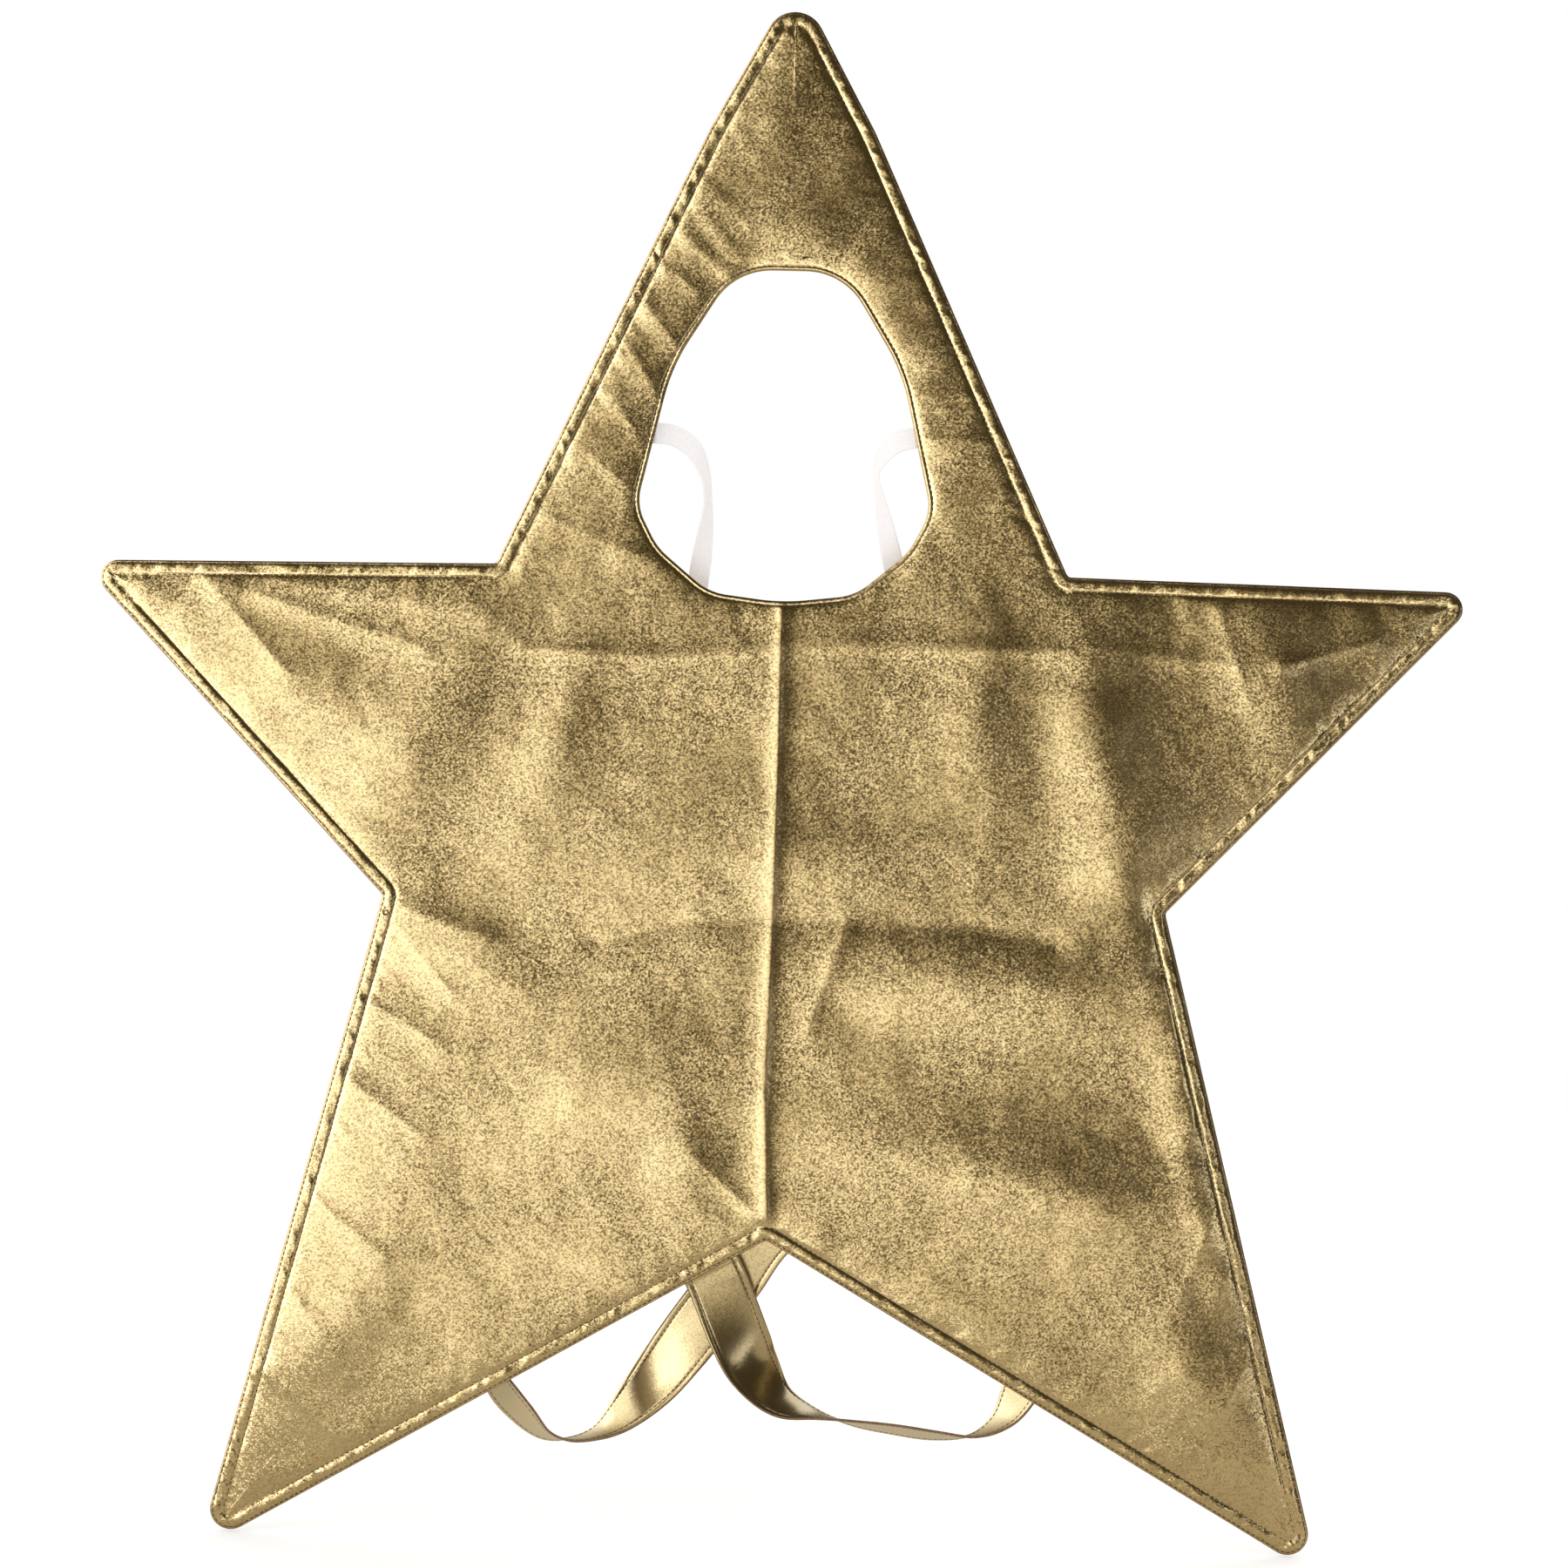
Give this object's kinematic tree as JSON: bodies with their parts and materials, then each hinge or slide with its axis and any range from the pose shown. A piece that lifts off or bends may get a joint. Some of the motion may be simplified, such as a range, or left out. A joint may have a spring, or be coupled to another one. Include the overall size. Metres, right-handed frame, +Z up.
{
  "type": "padded star costume",
  "caption": "Padded five-pointed star costume in gold metallic cloth with an oval face opening, elastic arm loops and cloth leg loops.",
  "frame": {"origin": "centre of the face opening, halfway through the padding", "axes": "+Z up as worn, front faces -Y, +X to the right as seen from the front"},
  "size_m": [0.7818, 0.046, 0.8784],
  "materials": {
    "metallic_cloth": "gold metallic foil on twill, crinkled",
    "padding": "thin polyester wadding",
    "lining": "plain matt lining",
    "thread": "dark brown sewing thread",
    "elastic": "ribbed white elastic",
    "strap_cloth": "gold metallic cloth, folded and stitched",
    "label": "white satin, blank"
  },
  "bodies": {
    "root": {"front_torso": "metallic_cloth", "padding_torso": "padding", "lining_torso": "lining", "topstitch_torso": "thread", "face_facing": "metallic_cloth", "face_stitch": "thread", "elastic_ends_left": "elastic", "elastic_ends_right": "elastic", "strap_ends_left": "strap_cloth", "strap_ends_right": "strap_cloth", "bar_tacks": "thread", "care_label": "label"},
    "top_point": {"front_top_point": "metallic_cloth", "padding_top_point": "padding", "lining_top_point": "lining", "topstitch_top_point": "thread"},
    "left_arm": {"front_left_arm": "metallic_cloth", "padding_left_arm": "padding", "lining_left_arm": "lining", "topstitch_left_arm": "thread"},
    "right_arm": {"front_right_arm": "metallic_cloth", "padding_right_arm": "padding", "lining_right_arm": "lining", "topstitch_right_arm": "thread"},
    "left_leg": {"front_left_leg": "metallic_cloth", "padding_left_leg": "padding", "lining_left_leg": "lining", "topstitch_left_leg": "thread", "thread_knot": "thread"},
    "right_leg": {"front_right_leg": "metallic_cloth", "padding_right_leg": "padding", "lining_right_leg": "lining", "topstitch_right_leg": "thread"},
    "elastic_left": {"elastic_left": "elastic"},
    "elastic_right": {"elastic_right": "elastic"},
    "leg_straps": {"strap_left": "strap_cloth", "strap_right": "strap_cloth"}
  },
  "joints": [
    {"name": "top_point_fold", "type": "hinge", "parent": "root", "child": "top_point", "pos_m": [0, 0, 0.105], "axis": [1, 0, 0], "range_deg": [-60, 60], "stiffness_Nm_per_rad": 0.06},
    {"name": "left_arm_fold", "type": "hinge", "parent": "root", "child": "left_arm", "pos_m": [-0.2245, 0, -0.269], "axis": [0.3013, 0, 0.9535], "range_deg": [-45, 60], "stiffness_Nm_per_rad": 0.06},
    {"name": "right_arm_fold", "type": "hinge", "parent": "root", "child": "right_arm", "pos_m": [0.164, 0, -0.0775], "axis": [0.3013, 0, -0.9535], "range_deg": [-45, 60], "stiffness_Nm_per_rad": 0.06},
    {"name": "left_leg_fold", "type": "hinge", "parent": "root", "child": "left_leg", "pos_m": [0, 0, -0.462], "axis": [-0.7583, 0, 0.6519], "range_deg": [0, 50], "stiffness_Nm_per_rad": 0.08},
    {"name": "right_leg_fold", "type": "hinge", "parent": "root", "child": "right_leg", "pos_m": [0.2245, 0, -0.269], "axis": [-0.7583, 0, -0.6519], "range_deg": [0, 50], "stiffness_Nm_per_rad": 0.08},
    {"name": "elastic_left_swing", "type": "hinge", "parent": "root", "child": "elastic_left", "pos_m": [-0.087, 0.0034, 0], "axis": [0.0208, -0.0233, 0.9995], "range_deg": [0, 75], "stiffness_Nm_per_rad": 0.01},
    {"name": "elastic_right_swing", "type": "hinge", "parent": "root", "child": "elastic_right", "pos_m": [0.087, 0.0034, 0], "axis": [0.0208, 0.0233, -0.9995], "range_deg": [0, 75], "stiffness_Nm_per_rad": 0.01},
    {"name": "leg_straps_swing", "type": "hinge", "parent": "root", "child": "leg_straps", "pos_m": [0, 0.0032, -0.33], "axis": [1, 0, 0], "range_deg": [0, 80]}
  ]
}
